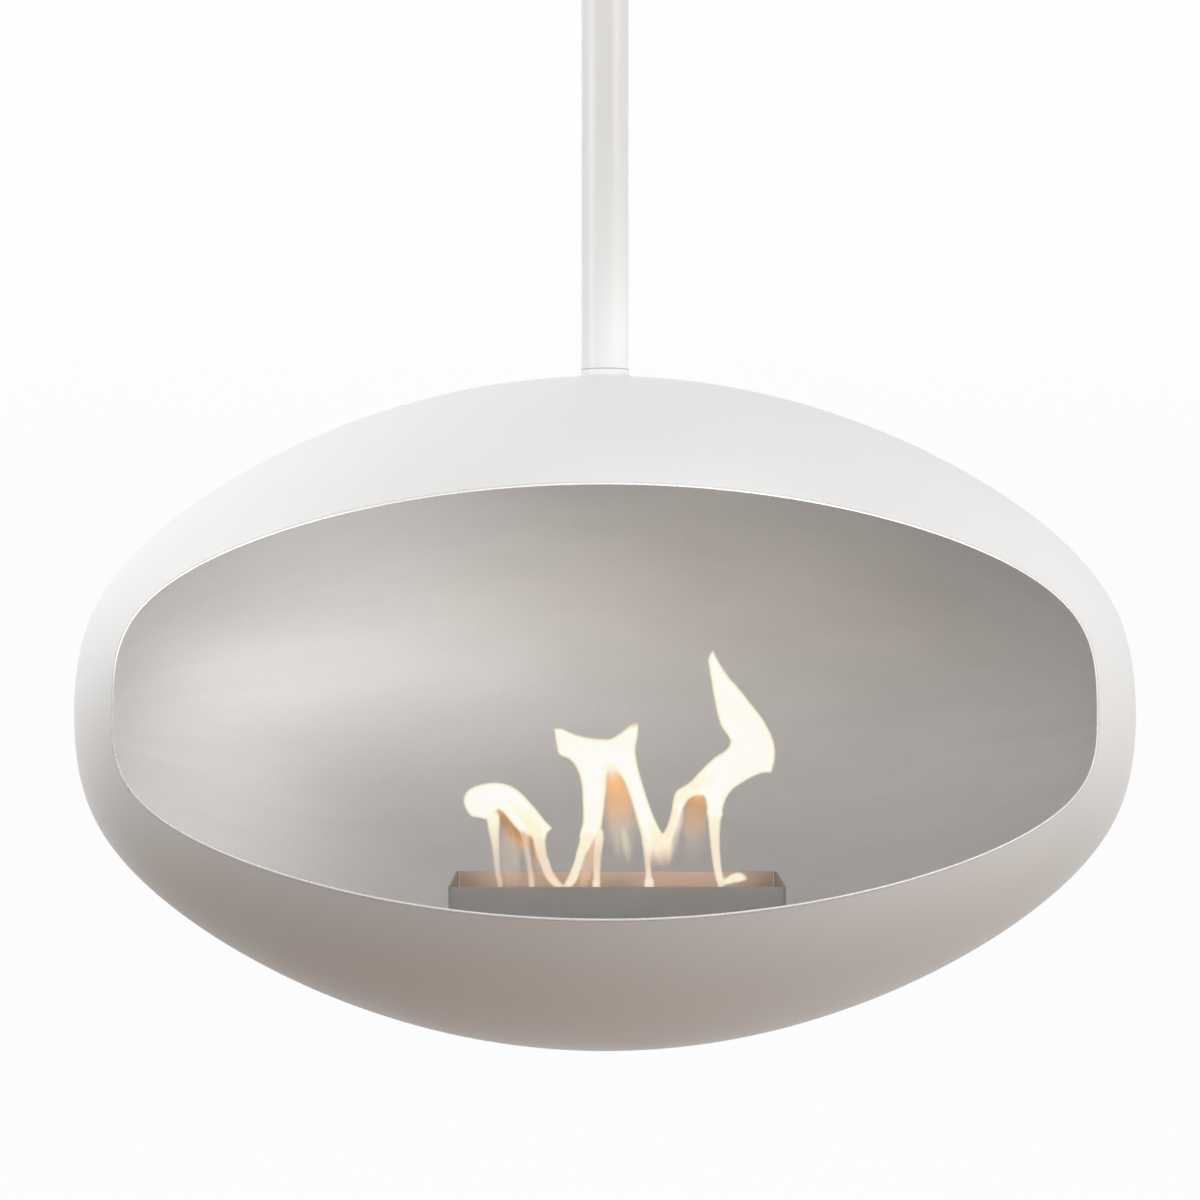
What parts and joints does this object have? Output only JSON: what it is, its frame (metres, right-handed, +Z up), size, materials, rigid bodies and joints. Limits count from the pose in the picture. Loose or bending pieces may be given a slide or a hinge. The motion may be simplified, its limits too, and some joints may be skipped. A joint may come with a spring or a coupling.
{
  "type": "hanging bioethanol fireplace",
  "caption": "Cocoon-shaped bioethanol fireplace hung from the ceiling by a pole: a double-skinned pod with a wide oval mouth, a lift-out burner tray and a sliding lid over its flame slot.",
  "frame": {"origin": "centre of the ceiling plate's top face, where it meets the ceiling", "axes": "+Z up along the pole, -Y out of the pod's mouth, +X to the right as one faces the mouth"},
  "size_m": [1.072, 0.6396, 1.194],
  "materials": {
    "white_coat": "satin white powder coat",
    "liner_steel": "satin brushed stainless sheet",
    "rim_steel": "ground and polished weld bead",
    "fitting_steel": "bright zinc-plated steel",
    "burner_steel": "satin stainless, darkened by heat",
    "tank_steel": "satin stainless with heat tint",
    "ceramic_wool": "matte ceramic wool",
    "ceramic_pad": "unglazed ceramic"
  },
  "bodies": {
    "hearth": {"ceiling_plate": "fitting_steel", "cross_bolt": "fitting_steel", "cross_nut": "fitting_steel", "cross_washers": "fitting_steel", "pole": "white_coat", "pole_plug": "fitting_steel", "pod_collar": "white_coat", "outer_shell": "white_coat", "inner_liner": "liner_steel", "rim_bead": "rim_steel", "saddle_pad": "fitting_steel", "hanger_washer": "fitting_steel", "hanger_bolt": "fitting_steel", "cradle_ribs": "liner_steel", "cradle_shelf": "liner_steel", "cradle_bolts": "fitting_steel", "cradle_nuts": "fitting_steel", "burner_pads": "ceramic_pad"},
    "canopy": {"ceiling_canopy": "white_coat", "canopy_screw": "fitting_steel"},
    "burner": {"burner_tray": "burner_steel", "fuel_tank": "tank_steel", "wool_block": "ceramic_wool", "wool_grid": "tank_steel", "burner_deck": "burner_steel", "deck_screws": "fitting_steel", "lid_runners": "tank_steel", "runner_rivets": "fitting_steel"},
    "lid": {"sliding_lid": "burner_steel", "lid_knob": "fitting_steel"}
  },
  "joints": [
    {"name": "canopy_slide", "type": "slide", "parent": "hearth", "child": "canopy", "axis": [0, 0, -1], "range_m": [0, 0.3]},
    {"name": "burner_lift", "type": "slide", "parent": "hearth", "child": "burner", "axis": [0, 0, 1], "range_m": [0, 0.1]},
    {"name": "lid_slide", "type": "slide", "parent": "burner", "child": "lid", "axis": [0, -1, 0], "range_m": [0, 0.052]}
  ]
}
